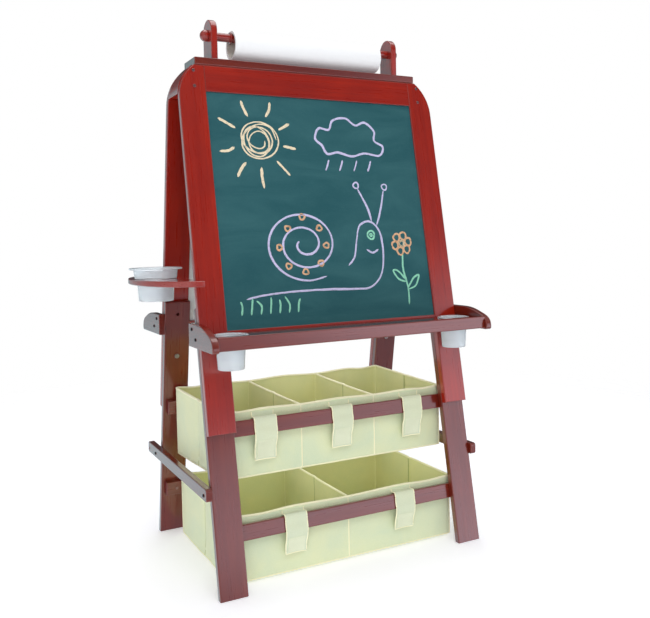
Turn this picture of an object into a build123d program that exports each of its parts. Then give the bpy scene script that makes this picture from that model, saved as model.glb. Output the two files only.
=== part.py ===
from build123d import *

import os
from math import cos, radians, sin, sqrt

# Children's two-sided standing easel. Millimetres, floor at Z = 0, front towards -Y.
# The two leaning sides are mirror images of each other about the XZ plane.

# Leaning sides: "u" runs across, "v" up the slope, "w" outwards from the outer face.
tilt = 10.4                # lean of each side from vertical, degrees
foot_reach = 238.8         # outer face line at the floor, from the centre plane
half_width = 322.0         # centre to outer edge of the stiles and legs
board_w = 60.0             # stile, leg and top rail width
board_t = 14.5             # thickness of every frame board
edge_r = 2.0               # sanded edges of the boards
top_bevel = 3.0            # bevel on the outer edge of the level cut
inner_u = half_width - board_w
through = 2000.0           # length of a cutter that passes right through a piece

# Upper frames and their panels
stile_foot_v = 328.0       # square lower end of the stiles
frame_top_z = 1096.5       # level cut that carries the top board
corner_r = 100.0           # rounded outer top corners
corner_u = half_width - corner_r
corner_v = 1036.0          # height of the corner centres on the slope
top_rail_v = 1055.0        # lower edge of the top rail
low_rail_v = (495.0, 537.0)
panel_t = 5.0
panel_inset = 4.0          # panel face behind the frame face
groove_depth = 6.0
corner_arc_deg = 35.0      # direction of the rounded corner's middle point
slack = 0.3                # gap around parts that drop or slide into place

# Lower legs, bolted behind the stiles
leg_top_v = 589.0
leg_hole_u = 292.0
leg_bolt_v = 457.0
leg_spare_v = 559.0        # spare height hole
spare_hole_d = 8.0

# Bin rails on the inner faces of the legs
rail_half = 313.0
rail_w = 33.0
upper_rail_v = 316.3
lower_rail_v = 106.5
rail_screw_u = 288.0
corner_screw_u = 287.0
corner_screws_v = (1065.0, 1100.0)

# Side bars
bar_y = (-196.0, 245.0)    # front end to overhanging rear end
bar_z = (194.5, 220.5)
bar_end_r = 6.0            # rounded ends, seen from the side
bar_screw_y = 179.0
bar_hole_y = 234.0         # spare hole in the overhang
bar_hole_d = 6.0
bar_screw_z = 205.0

# Top board, end blocks and paper roll holder
top_half = 282.0
top_depth = 74.0
top_t = 16.0
block_base_z = 1030.0
post_inner_x = 225.0
post_t = 14.5
post_depth = 54.0
post_top_z = 1203.0
dowel_z = 1168.4
dowel_d = 19.0
dowel_slack = 0.1          # radial running gap in the posts
knob_d = 26.0
knob_len = 16.0
knob_gap = 0.6
collar_d = 26.0
collar_x = (-188.0, -185.0)
roll_x = (-184.0, 192.0)
roll_d = 64.0
roll_bore = 51.0

# Trays
cheek_back_y = 112.0
cheek_front_y = 259.0
cheek_z = (499.0, 547.0)
cheek_curve_y = 165.0      # where the flat top starts to round down
cheek_crest = (231.0, 534.5)             # point that the rounded top passes through
cheek_nose_r = 6.0
lip_y = 250.0
lip_t = 12.0
lip_z = (501.5, 529.0)
tray_z = (509.5, 524.0)
tray_back_y = 145.7
cup_x = 276.0
cup_y = 195.0
cup_hole_d = 64.5
cheek_screws = ((133.0, 536.0), (156.0, 516.5))

# Paint cups
cup_base_z = 457.0
cup_rim_z = 527.0
cup_base_r = 27.0
cup_neck_r = 31.2
cup_rim_r = 36.0
cup_wall = 1.6

# Side shelf and its tub
shelf_depth = 100.0
shelf_half = 183.0
shelf_z = (624.0, 636.0)
tub_x = -371.0
tub_base_z = 588.0
tub_base_r = 37.0
tub_neck_r = 40.0
tub_shoulder_r = 45.0
tub_rim_z = (656.0, 660.0)
tub_rim_r = 56.5
tub_flare = 2.0            # how far the wall leans out up to the rim
tub_wall = 1.8
tub_hole_d = 82.0

# Fabric bins
cloth = 2.0
bin_half_x = 278.0
upper_bin_y = 132.2
upper_bin_z = (213.0, 355.0, 368.0)     # base, front edge, rear edge
upper_walls_x = (-93.0, 93.0)
upper_strap_x = (-186.0, 0.0, 186.0)
upper_strap_z = 249.0                    # lower end of the hanging straps
lower_bin_y = 170.0
lower_bin_z = (6.0, 145.0, 147.0)
lower_walls_x = (0.0,)
lower_strap_x = (-137.0, 137.0)
lower_strap_z = 50.0
strap_w = 50.0
strap_gap = 0.6                          # clearance between strap and rail

# Hardware
screw_head_d = 7.0
screw_head_h = 1.6
screw_shank_d = 3.6
cross_slot = (4.2, 1.0, 0.9)             # length, width and depth of the cross recess
corner_screw_len = 12.0
rail_screw_len = 26.0
side_screw_len = 40.0      # bars and cheeks into the legs' edges
bolt_head_d = 11.0
bolt_head_h = 3.0
bolt_socket = (2.5, 2.0)                 # corner radius and depth of the hexagon socket
bolt_shank_d = 6.0
bolt_len = 24.0
crown = 0.6                # rounded share of a head's height
hole_slack = 0.2

lean = radians(tilt)
# The shelf and its tub make the outline lopsided; this shift puts the origin under its middle
shift_x = (tub_rim_r - tub_x - half_width - board_t - screw_head_h) / 2
os.makedirs("parts", exist_ok=True)


def save(builder, name):
    """Place a finished piece in the shared frame, label it and write its STEP file."""
    builder.part.position = (shift_x, 0, 0)
    builder.part.label = name
    export_step(builder.part, f"parts/{name}.step")


def slope_plane(side, w=0.0):
    """Plane of a leaning face; side is -1 for the front and 1 for the rear."""
    outward = Vector(0, side * cos(lean), sin(lean))
    origin = Vector(0, side * foot_reach, 0) + outward * w
    return Plane(origin=origin, x_dir=(-side, 0, 0), z_dir=outward)


def slope_yz(v, w):
    """World (|y|, z) of a point on a leaning side."""
    y = foot_reach - v * sin(lean) + w * cos(lean)
    z = v * cos(lean) + w * sin(lean)
    return y, z


def side_u(side, hand):
    """Sign of u for a piece on the easel's left (-1) or right (1)."""
    return -side * hand


def fastener(place, head_d, head_h, shank_d, length, clearance=0.0):
    """Pan head above the plane, shank below it."""
    with BuildPart(place) as screw:
        Cylinder(shank_d / 2 + clearance, length, align=(Align.CENTER, Align.CENTER, Align.MAX))
        if not clearance:
            Cylinder(head_d / 2, head_h, align=(Align.CENTER, Align.CENTER, Align.MIN))
            head_top = screw.edges().filter_by(GeomType.CIRCLE).sort_by(Axis((0, 0, 0), place.z_dir))[-1]
            fillet(head_top, head_h * crown)
            if head_d == bolt_head_d:
                with BuildSketch(place.offset(head_h)) as socket:
                    RegularPolygon(bolt_socket[0], 6)
                extrude(socket.sketch, amount=-bolt_socket[1], mode=Mode.SUBTRACT)
            else:
                length, width, depth = cross_slot
                with Locations((0, 0, head_h)):
                    for size in ((length, width), (width, length)):
                        Box(*size, depth, align=(Align.CENTER, Align.CENTER, Align.MAX), mode=Mode.SUBTRACT)
    return screw.part


def fastener_set(places, head_d, head_h, shank_d, length):
    """Group of equal fasteners and the matching holes."""
    with BuildPart() as group:
        for place in places:
            add(fastener(place, head_d, head_h, shank_d, length))
    with BuildPart() as holes:
        for place in places:
            add(fastener(place, head_d, head_h, shank_d, length + hole_slack, hole_slack))
    return group, holes


# Fastener places
corner_places = []
bolt_places = []
rail_places = []
bar_places = []
cheek_places = []
for side in (-1, 1):
    face = slope_plane(side)
    leg_back = slope_plane(side, -2 * board_t)
    rail_back = slope_plane(side, -3 * board_t)
    for hand in (-1, 1):
        for v in corner_screws_v:
            spot = face.from_local_coords((corner_screw_u * hand, v, 0))
            corner_places.append(Plane(spot, z_dir=face.z_dir))
        spot = leg_back.from_local_coords((leg_hole_u * hand, leg_bolt_v, 0))
        bolt_places.append(Plane(spot, z_dir=-face.z_dir))
        for v in (upper_rail_v, lower_rail_v):
            spot = rail_back.from_local_coords((rail_screw_u * hand, v + rail_w / 2, 0))
            rail_places.append(Plane(spot, z_dir=-face.z_dir))
        outside = hand * (half_width + board_t)
        bar_places.append(Plane((outside, side * bar_screw_y, bar_screw_z), z_dir=(hand, 0, 0)))
        for y, z in cheek_screws:
            cheek_places.append(Plane((outside, side * y, z), z_dir=(hand, 0, 0)))

screw = (screw_head_d, screw_head_h, screw_shank_d)
bolt = (bolt_head_d, bolt_head_h, bolt_shank_d)
fastener_groups = {
    "frame_corner_screws": (corner_places, *screw, corner_screw_len),
    "bin_rail_screws": (rail_places, *screw, rail_screw_len),
    "side_bar_screws": (bar_places, *screw, side_screw_len),
    "tray_cheek_screws": (cheek_places, *screw, side_screw_len),
    "leg_bolts": (bolt_places, *bolt, bolt_len),
}
with BuildPart() as drill:
    for name, sizes in fastener_groups.items():
        group, holes = fastener_set(*sizes)
        save(group, name)
        add(holes.part)


def drilled():
    """Cut the fastener holes out of the piece being built."""
    add(drill.part, mode=Mode.SUBTRACT)


def rounded(builder, face, radius=edge_r):
    """Round both outlines of a board that lies in the given plane."""
    across = Axis((0, 0, 0), face.z_dir)
    ends = builder.faces().filter_by(across).sort_by(across)
    fillet(ends[0].edges() + ends[-1].edges(), radius)


def slope_board(builder, face, u_range, v_range, radius=edge_r):
    """Rectangular board of the common thickness, outer face on the plane."""
    centre = (sum(u_range) / 2, sum(v_range) / 2)
    with BuildSketch(face) as outline:
        with Locations(centre):
            Rectangle(abs(u_range[1] - u_range[0]), v_range[1] - v_range[0])
    extrude(outline.sketch, amount=-board_t)
    rounded(builder, face, radius)


def level_bevel(side):
    """Wedge that bevels the outer edge of the cut that carries the top board."""
    y, z = slope_yz(frame_top_z / cos(lean), 0)
    lower_y, lower_z = slope_yz((frame_top_z - top_bevel) / cos(lean), 0)
    with BuildPart() as wedge:
        with BuildSketch(Plane.YZ):
            Polygon(
                (side * lower_y, lower_z),
                (side * (y - top_bevel), z),
                (side * (y + top_bevel), z + top_bevel),
                align=None,
            )
        extrude(amount=half_width, both=True)
    return wedge.part


def world_box(x, y, z):
    """Box between the given limits."""
    with Locations(((x[0] + x[1]) / 2, (y[0] + y[1]) / 2, (z[0] + z[1]) / 2)):
        Box(abs(x[1] - x[0]), abs(y[1] - y[0]), abs(z[1] - z[0]))


side_names = {-1: "front", 1: "rear"}
hand_names = {-1: "left", 1: "right"}
panel_names = {-1: "chalkboard", 1: "whiteboard"}

# Leaning frames, panels, legs and bin rails
for side, side_name in side_names.items():
    face = slope_plane(side)
    panel_u = 2 * (inner_u + groove_depth)
    panel_v = top_rail_v - low_rail_v[1] + 2 * groove_depth
    panel_mid = (top_rail_v + low_rail_v[1]) / 2

    with BuildPart(face) as groove:
        with Locations((0, panel_mid, -panel_inset + slack)):
            Box(panel_u + 2 * slack, panel_v + 2 * slack, panel_t + 2 * slack,
                align=(Align.CENTER, Align.CENTER, Align.MAX))
    with BuildPart(face) as panel:
        with Locations((0, panel_mid, -panel_inset)):
            Box(panel_u, panel_v, panel_t, align=(Align.CENTER, Align.CENTER, Align.MAX))
    save(panel, f"{side_name}_{panel_names[side]}")

    with BuildPart() as top_rail:
        slope_board(top_rail, face, (-inner_u, inner_u), (top_rail_v, corner_v + corner_r), edge_r / 2)
        split(bisect_by=Plane.XY.offset(frame_top_z), keep=Keep.BOTTOM)
        add(level_bevel(side), mode=Mode.SUBTRACT)
        add(groove.part, mode=Mode.SUBTRACT)
        drilled()
    save(top_rail, f"{side_name}_top_rail")

    with BuildPart() as low_rail:
        slope_board(low_rail, face, (-inner_u, inner_u), low_rail_v, edge_r / 2)
        add(groove.part, mode=Mode.SUBTRACT)
        drilled()
    save(low_rail, f"{side_name}_bottom_rail")

    rail_face = slope_plane(side, -2 * board_t)
    for level, foot_v in (("upper", upper_rail_v), ("lower", lower_rail_v)):
        with BuildPart() as bin_rail:
            slope_board(bin_rail, rail_face, (-rail_half, rail_half), (foot_v, foot_v + rail_w))
            drilled()
        save(bin_rail, f"{side_name}_{level}_bin_rail")

    for hand, hand_name in hand_names.items():
        su = side_u(side, hand)
        arc_end_v = corner_v + sqrt(corner_r**2 - (inner_u - corner_u) ** 2)
        bulge = corner_r * cos(radians(corner_arc_deg))
        rise = corner_r * sin(radians(corner_arc_deg))
        with BuildPart() as stile:
            with BuildSketch(face):
                with BuildLine():
                    Polyline(
                        (su * inner_u, arc_end_v),
                        (su * inner_u, stile_foot_v),
                        (su * half_width, stile_foot_v),
                        (su * half_width, corner_v),
                    )
                    ThreePointArc(
                        (su * half_width, corner_v),
                        (su * (corner_u + bulge), corner_v + rise),
                        (su * inner_u, arc_end_v),
                    )
                make_face()
            extrude(amount=-board_t)
            rounded(stile, face)
            split(bisect_by=Plane.XY.offset(frame_top_z), keep=Keep.BOTTOM)
            add(level_bevel(side), mode=Mode.SUBTRACT)
            add(groove.part, mode=Mode.SUBTRACT)
            drilled()
        save(stile, f"{side_name}_{hand_name}_stile")

        leg_face = slope_plane(side, -board_t)
        with BuildPart() as leg:
            slope_board(leg, leg_face, (su * inner_u, su * half_width), (-board_w, leg_top_v))
            split(bisect_by=Plane.XY, keep=Keep.TOP)
            with Locations(leg_face):
                with Locations((su * leg_hole_u, leg_spare_v, 0)):
                    Cylinder(spare_hole_d / 2, board_t,
                             align=(Align.CENTER, Align.CENTER, Align.MAX), mode=Mode.SUBTRACT)
            drilled()
        save(leg, f"{side_name}_{hand_name}_leg")

# Top board and the end blocks between the two frames
with BuildPart() as top_board:
    world_box((-top_half, top_half), (-top_depth / 2, top_depth / 2), (frame_top_z, frame_top_z + top_t))
    fillet(top_board.edges(), edge_r)
save(top_board, "top_board")

block_foot_y = slope_yz(block_base_z / cos(lean), 0)[0] - board_t / cos(lean)
block_top_y = slope_yz(frame_top_z / cos(lean), 0)[0] - board_t / cos(lean)
for hand, hand_name in hand_names.items():
    with BuildPart() as block:
        with BuildSketch(Plane.YZ.offset(hand * inner_u)):
            Polygon(
                (-block_foot_y, block_base_z),
                (block_foot_y, block_base_z),
                (block_top_y, frame_top_z),
                (-block_top_y, frame_top_z),
                align=None,
            )
        extrude(amount=hand * board_w)
        with BuildSketch(Plane.XZ):
            with Locations((hand * corner_u, corner_v * cos(lean))):
                Circle(corner_r)
            with Locations((hand * corner_u, corner_v * cos(lean) - corner_r)):
                Rectangle(2 * corner_r, 2 * corner_r)
        extrude(amount=board_w, both=True, mode=Mode.INTERSECT)
        drilled()
    save(block, f"{hand_name}_end_block")

# Paper roll holder
for hand, hand_name in hand_names.items():
    with BuildPart() as post:
        with BuildSketch(Plane.YZ.offset(hand * post_inner_x)):
            arch_z = post_top_z - post_depth / 2
            base_z = frame_top_z + top_t
            with Locations((0, (arch_z + base_z) / 2)):
                Rectangle(post_depth, arch_z - base_z)
            with Locations((0, arch_z)):
                Circle(post_depth / 2)
        extrude(amount=hand * post_t)
        rounded(post, Plane.YZ, edge_r)
        with Locations(Plane.YZ):
            with Locations((0, dowel_z, 0)):
                Cylinder(dowel_d / 2 + dowel_slack, through, mode=Mode.SUBTRACT)
    save(post, f"{hand_name}_roll_post")

    knob_base = hand * (post_inner_x + post_t + knob_gap)
    with BuildPart() as knob:
        with Locations((knob_base + hand * (knob_len - knob_d / 2), 0, dowel_z)):
            Sphere(knob_d / 2)
        split(bisect_by=Plane.YZ.offset(knob_base), keep=Keep.TOP if hand > 0 else Keep.BOTTOM)
    save(knob, f"{hand_name}_dowel_knob")


def rod(x_range, diameter, z, bore=0.0):
    """Round piece along X, optionally hollow."""
    with Locations(Plane((x_range[0], 0, z), z_dir=(1, 0, 0))):
        Cylinder(diameter / 2, x_range[1] - x_range[0], align=(Align.CENTER, Align.CENTER, Align.MIN))
        if bore:
            Cylinder(bore / 2, x_range[1] - x_range[0],
                     align=(Align.CENTER, Align.CENTER, Align.MIN), mode=Mode.SUBTRACT)


dowel_half = post_inner_x + post_t + knob_gap
with BuildPart() as dowel:
    rod((-dowel_half, dowel_half), dowel_d, dowel_z)
save(dowel, "roll_dowel")

with BuildPart() as collar:
    rod(collar_x, collar_d, dowel_z, dowel_d)
    fillet(collar.edges().filter_by(GeomType.CIRCLE).group_by(SortBy.RADIUS)[-1], edge_r / 2)
save(collar, "dowel_collar")

# The tube of the paper roll hangs on the dowel
roll_z = dowel_z - (roll_bore - dowel_d) / 2 + slack
with BuildPart() as paper:
    rod(roll_x, roll_d, roll_z, roll_bore)
save(paper, "paper_roll")

# Trays with their cups
nose_cut = cheek_nose_r * (1 - cos(radians(45)))
for side, side_name in side_names.items():
    for hand, hand_name in hand_names.items():
        with BuildPart() as cheek:
            with BuildSketch(Plane.YZ.offset(hand * half_width)):
                with BuildLine():
                    Polyline(
                        (side * cheek_curve_y, cheek_z[1]),
                        (side * cheek_back_y, cheek_z[1]),
                        (side * cheek_back_y, cheek_z[0]),
                        (side * (cheek_front_y - cheek_nose_r), cheek_z[0]),
                    )
                    ThreePointArc(
                        (side * (cheek_front_y - cheek_nose_r), cheek_z[0]),
                        (side * (cheek_front_y - nose_cut), cheek_z[0] + nose_cut),
                        (side * cheek_front_y, cheek_z[0] + cheek_nose_r),
                    )
                    Spline(
                        (side * cheek_front_y, cheek_z[0] + cheek_nose_r),
                        (side * cheek_crest[0], cheek_crest[1]),
                        (side * cheek_curve_y, cheek_z[1]),
                        tangents=((0, 1), (-side, 0)),
                    )
                make_face()
            extrude(amount=hand * board_t)
            rounded(cheek, Plane.YZ)
            drilled()
        save(cheek, f"{side_name}_tray_{hand_name}_cheek")

    with BuildPart() as tray:
        world_box(
            (-half_width, half_width),
            (side * tray_back_y, side * (lip_y - lip_t)),
            tray_z,
        )
        with Locations(
            (-cup_x, side * cup_y, tray_z[0]),
            (cup_x, side * cup_y, tray_z[0]),
        ):
            Cylinder(cup_hole_d / 2, through, mode=Mode.SUBTRACT)
        drilled()
    save(tray, f"{side_name}_tray_board")

    with BuildPart() as lip:
        world_box((-half_width, half_width), (side * (lip_y - lip_t), side * lip_y), lip_z)
        fillet(lip.edges().filter_by(Axis.X), edge_r)
    save(lip, f"{side_name}_tray_lip")


def vessel(centre, outline):
    """Turn a half section about the vertical through the centre."""
    section = Plane(origin=(centre[0], centre[1], 0), x_dir=(1, 0, 0), z_dir=(0, -1, 0))
    with BuildSketch(section) as half:
        Polygon(*outline, align=None)
    revolve(half.sketch, axis=Axis((centre[0], centre[1], 0), (0, 0, 1)))


cup_seat_z = tray_z[1] + slack
cup_outline = [
    (0, cup_base_z),
    (cup_base_r, cup_base_z),
    (cup_neck_r, cup_seat_z),
    (cup_rim_r, cup_seat_z),
    (cup_rim_r, cup_rim_z),
    (cup_neck_r - cup_wall, cup_rim_z),
    (cup_base_r - cup_wall, cup_base_z + cup_wall),
    (0, cup_base_z + cup_wall),
]
for side, side_name in side_names.items():
    for hand, hand_name in hand_names.items():
        with BuildPart() as cup:
            vessel((hand * cup_x, side * cup_y), cup_outline)
        save(cup, f"{side_name}_{hand_name}_cup")

# Side shelf with its tub, on the easel's left
with BuildPart() as shelf:
    with BuildSketch(Plane.XY.offset(shelf_z[0])):
        with Locations((-half_width, 0)):
            Ellipse(shelf_depth, shelf_half)
        with Locations((-half_width, 0)):
            Rectangle(through, through, align=(Align.MIN, Align.CENTER), mode=Mode.SUBTRACT)
        with Locations((tub_x, 0)):
            Circle(tub_hole_d / 2, mode=Mode.SUBTRACT)
    extrude(amount=shelf_z[1] - shelf_z[0])
    fillet(shelf.edges().filter_by(GeomType.ELLIPSE), edge_r)
save(shelf, "side_shelf")

tub_seat_z = shelf_z[1] + slack
tub_outline = [
    (0, tub_base_z),
    (tub_base_r, tub_base_z),
    (tub_neck_r, tub_seat_z),
    (tub_shoulder_r, tub_seat_z),
    (tub_shoulder_r + tub_flare, tub_rim_z[0]),
    (tub_rim_r, tub_rim_z[0]),
    (tub_rim_r, tub_rim_z[1]),
    (tub_shoulder_r + tub_flare - tub_wall, tub_rim_z[1]),
    (tub_shoulder_r - tub_wall, tub_seat_z + tub_wall),
    (tub_neck_r - tub_wall, tub_seat_z + tub_wall),
    (tub_base_r - tub_wall, tub_base_z + tub_wall),
    (0, tub_base_z + tub_wall),
]
with BuildPart() as tub:
    vessel((tub_x, 0), tub_outline)
save(tub, "shelf_tub")

# Side bars
for hand, hand_name in hand_names.items():
    with BuildPart() as bar:
        world_box((hand * half_width, hand * (half_width + board_t)), bar_y, bar_z)
        fillet(bar.edges().filter_by(Axis.X), bar_end_r)
        rounded(bar, Plane.YZ)
        with Locations(Plane((0, bar_hole_y, bar_screw_z), z_dir=(1, 0, 0))):
            Cylinder(bar_hole_d / 2, through, mode=Mode.SUBTRACT)
        drilled()
    save(bar, f"{hand_name}_side_bar")


def strap_section(side, rail_v, strap_z):
    """Strap outline in (y, z): over the rail, down its face, then hanging plumb."""
    top_v = rail_v + rail_w
    back = slope_yz(top_v + strap_gap, -3 * board_t - strap_gap)
    front = slope_yz(top_v + strap_gap, -2 * board_t + strap_gap)
    base = slope_yz(rail_v, -2 * board_t + strap_gap)
    inner = [(back[0] - cloth, back[1] - cloth), (back[0], back[1] - cloth), back, front, base]
    inner.append((base[0], strap_z))
    outer = [
        (base[0] + cloth, strap_z),
        (base[0] + cloth, base[1]),
        (front[0] + cloth, front[1] + cloth),
        (back[0] - cloth, back[1] + cloth),
    ]
    return [(side * y, z) for y, z in inner + outer]


def fabric_bins(half_y, heights, walls_x, straps_x, rail_v, strap_z):
    """Row of open fabric bins sharing their partition walls, with hanging straps."""
    base_z, front_z, rear_z = heights
    with BuildSketch(Plane.YZ) as block:
        Polygon(
            (-half_y, base_z),
            (half_y, base_z),
            (half_y, rear_z),
            (-half_y, front_z),
            align=None,
        )
    extrude(block.sketch, amount=bin_half_x, both=True)
    end_x = bin_half_x - cloth / 2
    stops = [-end_x, *walls_x, end_x]
    for start, end in zip(stops[:-1], stops[1:]):
        with Locations(((start + end) / 2, 0, base_z + cloth)):
            Box(end - start - cloth, 2 * (half_y - cloth), 2 * (rear_z - base_z),
                align=(Align.CENTER, Align.CENTER, Align.MIN), mode=Mode.SUBTRACT)
    for side in side_names:
        for x in straps_x:
            with BuildSketch(Plane.YZ.offset(x)) as strap:
                Polygon(*strap_section(side, rail_v, strap_z), align=None)
            extrude(strap.sketch, amount=strap_w / 2, both=True)


with BuildPart() as upper_bins:
    fabric_bins(upper_bin_y, upper_bin_z, upper_walls_x, upper_strap_x, upper_rail_v, upper_strap_z)
save(upper_bins, "upper_bins")

with BuildPart() as lower_bins:
    fabric_bins(lower_bin_y, lower_bin_z, lower_walls_x, lower_strap_x, lower_rail_v, lower_strap_z)
save(lower_bins, "lower_bins")
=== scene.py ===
from math import ceil, cos, pi, radians, sin

import bpy
from mathutils import Matrix, Vector, noise


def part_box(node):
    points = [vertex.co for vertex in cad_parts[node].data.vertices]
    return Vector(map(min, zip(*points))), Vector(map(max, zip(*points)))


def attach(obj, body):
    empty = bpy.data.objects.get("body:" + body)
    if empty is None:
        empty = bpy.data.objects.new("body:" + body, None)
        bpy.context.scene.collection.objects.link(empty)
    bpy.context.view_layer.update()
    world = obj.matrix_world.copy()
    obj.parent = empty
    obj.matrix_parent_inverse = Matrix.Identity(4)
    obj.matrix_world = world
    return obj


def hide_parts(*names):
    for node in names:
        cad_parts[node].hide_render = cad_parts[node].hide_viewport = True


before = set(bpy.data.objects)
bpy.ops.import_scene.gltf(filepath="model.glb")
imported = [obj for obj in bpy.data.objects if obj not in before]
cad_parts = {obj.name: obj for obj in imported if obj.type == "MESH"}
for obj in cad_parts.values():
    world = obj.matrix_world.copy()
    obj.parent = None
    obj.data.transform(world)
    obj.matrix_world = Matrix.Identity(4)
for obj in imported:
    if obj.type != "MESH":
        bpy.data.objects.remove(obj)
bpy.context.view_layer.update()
scene = bpy.context.scene

MM = 0.001
top_lo, top_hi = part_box("top_board")
MID_X = (top_lo.x + top_hi.x) / 2       # the easel's own middle plane

# The leaning sides, as in the CAD source: millimetres, "v" up the slope, "w" outwards
LEAN = radians(10.4)
FOOT_REACH = 238.8
BOARD_T = 14.5
PANEL_INSET = 4.0
SIDES = {"front": -1, "rear": 1}


def slope_yz(v, w):
    """Distance from the centre plane and height of a point on a leaning side."""
    y = FOOT_REACH - v * sin(LEAN) + w * cos(LEAN)
    z = v * cos(LEAN) + w * sin(LEAN)
    return y, z


# ---------------------------------------------------------------- camera

YAW, PITCH, ROLL = radians(27.514), radians(2.582), radians(-1.207)
CAMERA_AT = Vector((-0.77119, -1.64568, 0.71615))
FOCAL_SHARE = 1.18409                   # focal length in image widths
SHIFT = (0.0006, -0.0557)


def make_camera():
    right = Vector((cos(YAW), -sin(YAW), 0))
    ahead = Vector((sin(YAW) * cos(PITCH), cos(YAW) * cos(PITCH), -sin(PITCH)))
    up = right.cross(ahead)
    side = cos(ROLL) * right + sin(ROLL) * up
    top = cos(ROLL) * up - sin(ROLL) * right
    data = bpy.data.cameras.new("camera")
    data.sensor_width = 36.0
    data.lens = data.sensor_width * FOCAL_SHARE
    data.shift_x, data.shift_y = SHIFT
    data.clip_start = 0.05
    camera = bpy.data.objects.new("camera", data)
    scene.collection.objects.link(camera)
    camera.matrix_world = Matrix.Translation(CAMERA_AT) @ Matrix((side, top, -ahead)).transposed().to_4x4()
    scene.camera = camera


make_camera()

# ---------------------------------------------------------------- material nodes


class Shader:
    """A node material that is built one node at a time."""

    def __init__(self, name):
        self.material = bpy.data.materials.new(name)
        self.material.use_nodes = True
        self.tree = self.material.node_tree
        self.bsdf = self.tree.nodes["Principled BSDF"]

    def put(self, socket, value):
        if isinstance(value, bpy.types.NodeSocket):
            self.tree.links.new(value, socket)
        else:
            socket.default_value = value

    def add(self, kind, inputs, output=0, **settings):
        made = self.tree.nodes.new("ShaderNode" + kind)
        for key, value in settings.items():
            setattr(made, key, value)
        for key, value in inputs.items():
            self.put(made.inputs[key], value)
        return made.outputs[output]

    def finish(self, **values):
        for key, value in values.items():
            self.put(self.bsdf.inputs[key.replace("_", " ")], value)
        return self.material

    def place(self):
        return self.add("TexCoord", {}, "Object")

    def mapping(self, vector, scale=(1, 1, 1), rotation=(0, 0, 0), location=(0, 0, 0), kind="POINT"):
        inputs = {"Vector": vector, "Scale": scale, "Rotation": rotation}
        if kind == "POINT":
            inputs["Location"] = location
        return self.add("Mapping", inputs, vector_type=kind)

    def noise(self, vector, scale, detail=3.0, roughness=0.5, distortion=0.0):
        return self.add("TexNoise", {
            "Vector": vector, "Scale": scale, "Detail": detail,
            "Roughness": roughness, "Distortion": distortion,
        }, "Fac")

    def math(self, operation, a, b=0.0):
        return self.add("Math", {0: a, 1: b}, operation=operation)

    def span(self, value, low, high, to_low=0.0, to_high=1.0):
        return self.add("MapRange", {
            "Value": value, "From Min": low, "From Max": high, "To Min": to_low, "To Max": to_high,
        })

    def blend(self, factor, a, b):
        made = self.tree.nodes.new("ShaderNodeMix")
        made.data_type = "RGBA"
        for index, value in ((0, factor), (6, a), (7, b)):
            self.put(made.inputs[index], value)
        return made.outputs[2]

    def bump(self, height, strength, distance):
        return self.add("Bump", {"Height": height, "Strength": strength, "Distance": distance})


def rgb(red, green, blue):
    """Linear colour from display values."""
    return tuple((c / 255) ** 2.2 for c in (red, green, blue)) + (1.0,)


GRAIN_SCALE = {"x": (1, 30, 30), "y": (30, 1, 30), "z": (30, 30, 1)}
SIDE_TURN = {"flat": 0.0, "front": LEAN, "rear": -LEAN}


def wood(name, grain, side="flat", seed=0, tone=1.0):
    """Glossy cherry stain with the grain along one board axis; a lower tone darkens the red of the base
    colour, and rounded edges carry a painted pale pink highlight.
    """
    s = Shader(name)

    # tone scales only the red of each base colour; below 1 the red is darker
    def stain(red, green, blue):
        return red * tone, green, blue

    turn = (SIDE_TURN[side], 0, 0)
    board = s.mapping(s.place(), rotation=turn, location=(0.37 * seed, 0.23 * seed, 0.11 * seed))
    streaks = s.noise(s.mapping(board, GRAIN_SCALE[grain]), 2.2, 5.0, 0.6, 0.7)
    lines = s.noise(s.mapping(board, [5 * k for k in GRAIN_SCALE[grain]]), 2.6, 3.0, 0.55)
    clouds = s.noise(board, 6.5, 3.0, 0.6)
    colour = s.blend(s.span(streaks, 0.3, 0.72), rgb(*stain(146, 27, 10)), rgb(*stain(170, 38, 14)))
    colour = s.blend(s.span(clouds, 0.4, 0.66, 0.0, 0.5), colour, rgb(*stain(132, 26, 20)))
    pores = s.span(lines, 0.58, 0.74)
    colour = s.blend(s.math("MULTIPLY", pores, 0.14), colour, rgb(*stain(90, 12, 8)))
    # Painted highlight: where the normal turns away from the board's flat faces, on the rounded edges, the
    # colour is blended towards a pale pink as if the edges caught the light
    facing = s.mapping(s.add("NewGeometry", {}, "Normal"), rotation=turn, kind="VECTOR")
    facing = s.add("VectorMath", {0: facing}, operation="ABSOLUTE")
    facing = s.add("SeparateXYZ", {0: facing}, 0).node.outputs
    flat = s.math("MAXIMUM", s.math("MAXIMUM", facing[0], facing[1]), facing[2])
    edge = s.math("MULTIPLY", s.span(flat, 0.995, 0.86), s.span(streaks, 0.3, 0.6, 0.25, 0.5))
    colour = s.blend(edge, colour, rgb(150, 96, 92))
    peel = s.noise(board, 120.0, 2.0)
    height = s.math("SUBTRACT", s.math("MULTIPLY", peel, 0.3), pores)
    return s.finish(
        Base_Color=colour,
        Roughness=s.span(lines, 0.3, 0.7, 0.26, 0.36),
        Normal=s.bump(height, 0.06, 0.0004),
        IOR=1.65,
        Coat_Weight=1.0,
        Coat_IOR=1.6,
        Coat_Roughness=0.12,
    )


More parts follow.
